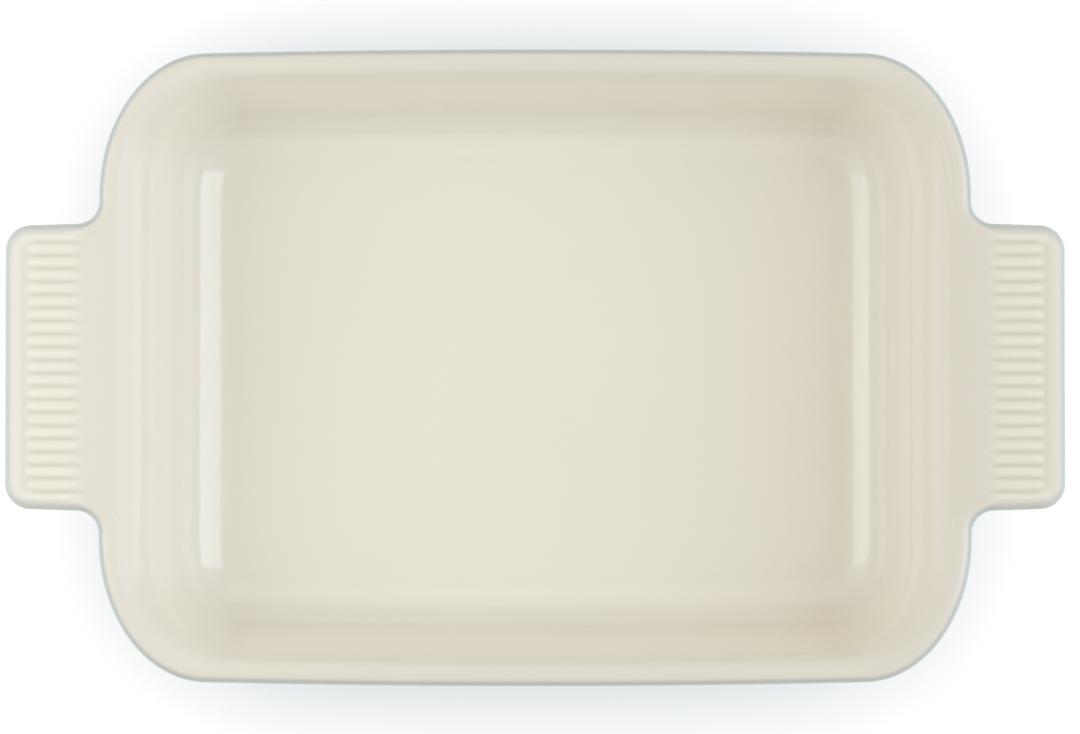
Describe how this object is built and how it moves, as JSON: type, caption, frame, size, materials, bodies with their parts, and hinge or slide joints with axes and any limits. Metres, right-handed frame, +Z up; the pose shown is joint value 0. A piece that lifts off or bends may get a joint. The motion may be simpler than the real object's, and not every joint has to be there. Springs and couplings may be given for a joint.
{
  "type": "rectangular baking dish",
  "caption": "Rectangular stoneware baking dish with rounded corners, sloping walls, a ribbed tab handle at each end, cream glaze inside and pale blue glaze outside.",
  "frame": {"origin": "on the table, under the middle of the dish", "axes": "+Z up out of the dish, +X along the dish through both handles, +Y across it"},
  "size_m": [0.332, 0.2, 0.065],
  "materials": {
    "clay": "bare fired stoneware, matte",
    "cream_glaze": "gloss cream glaze",
    "blue_glaze": "gloss pale blue glaze",
    "base_glaze": "gloss pale blue glaze"
  },
  "bodies": {
    "root": {"stoneware_body": "clay", "interior_glaze": "cream_glaze", "exterior_glaze": "blue_glaze", "base_glaze": "base_glaze"}
  },
  "joints": []
}
